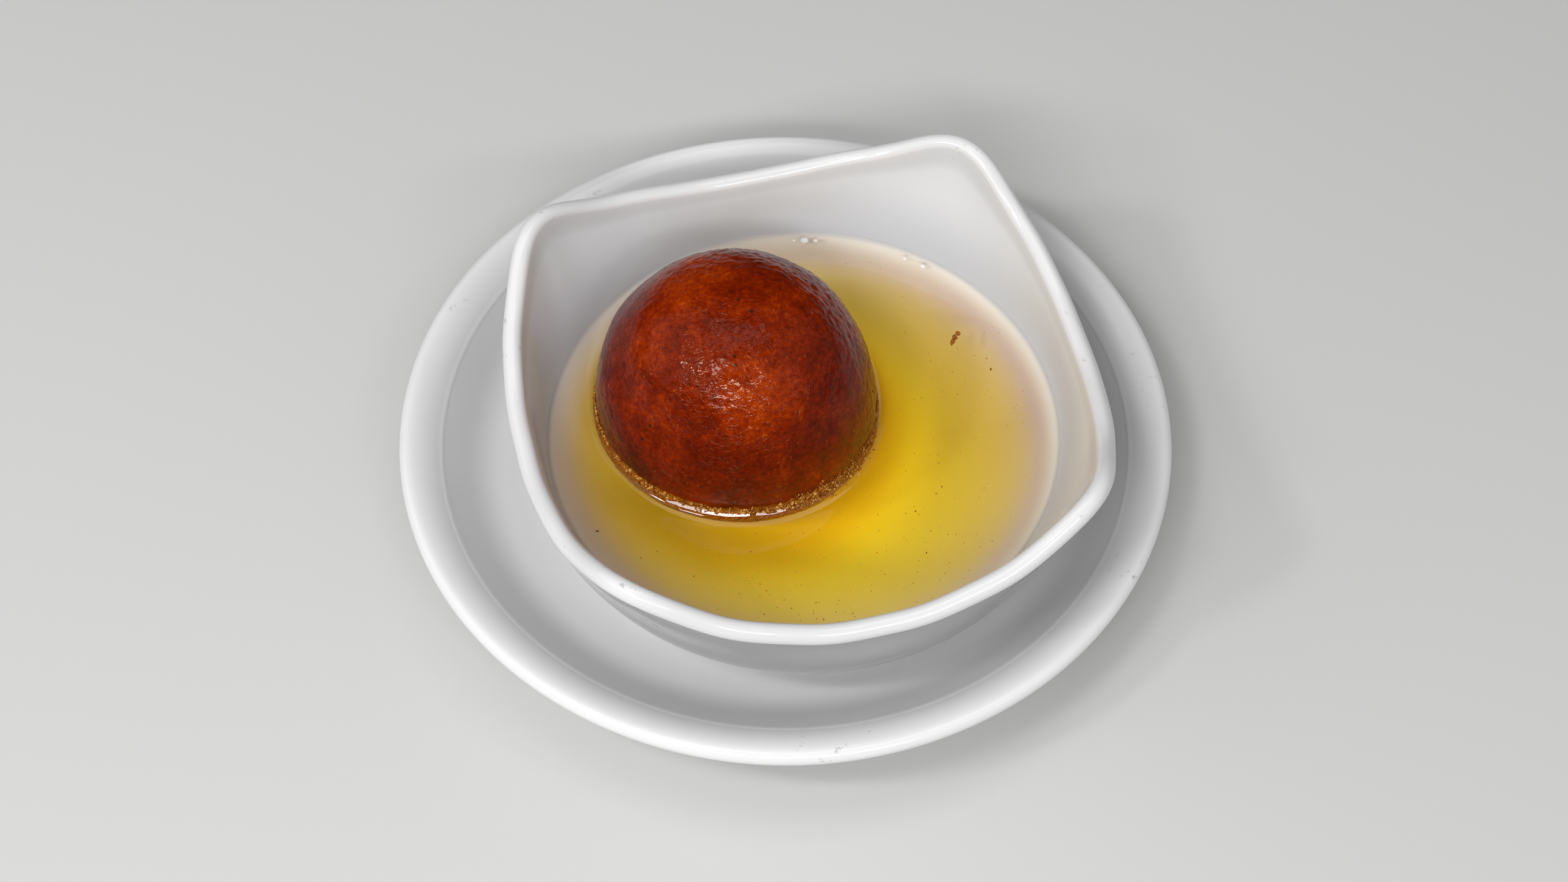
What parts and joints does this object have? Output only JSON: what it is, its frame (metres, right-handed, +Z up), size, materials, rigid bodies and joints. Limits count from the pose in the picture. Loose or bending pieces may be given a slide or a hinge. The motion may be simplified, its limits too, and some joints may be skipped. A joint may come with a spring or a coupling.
{
  "type": "gulab jamun in a syrup bowl",
  "caption": "Syrup-soaked gulab jamun ball standing in golden syrup in a small four-cornered white bowl, on a round white saucer.",
  "frame": {"origin": "centre of the saucer's foot ring, on the surface it stands on", "axes": "+Z up along the saucer's axis; -Y towards the side the bowl and ball are seen from; the ball stands towards -X in the bowl"},
  "size_m": [0.15, 0.15, 0.058],
  "materials": {
    "saucer_glaze": "glossy white glaze",
    "bowl_glaze": "glossy white glaze",
    "syrup": "wet, clear golden syrup",
    "ball": "syrup-wet fried skin, deep red-brown"
  },
  "bodies": {
    "root": {"saucer": "saucer_glaze", "bowl": "bowl_glaze", "syrup": "syrup", "gulab_jamun": "ball"}
  },
  "joints": []
}
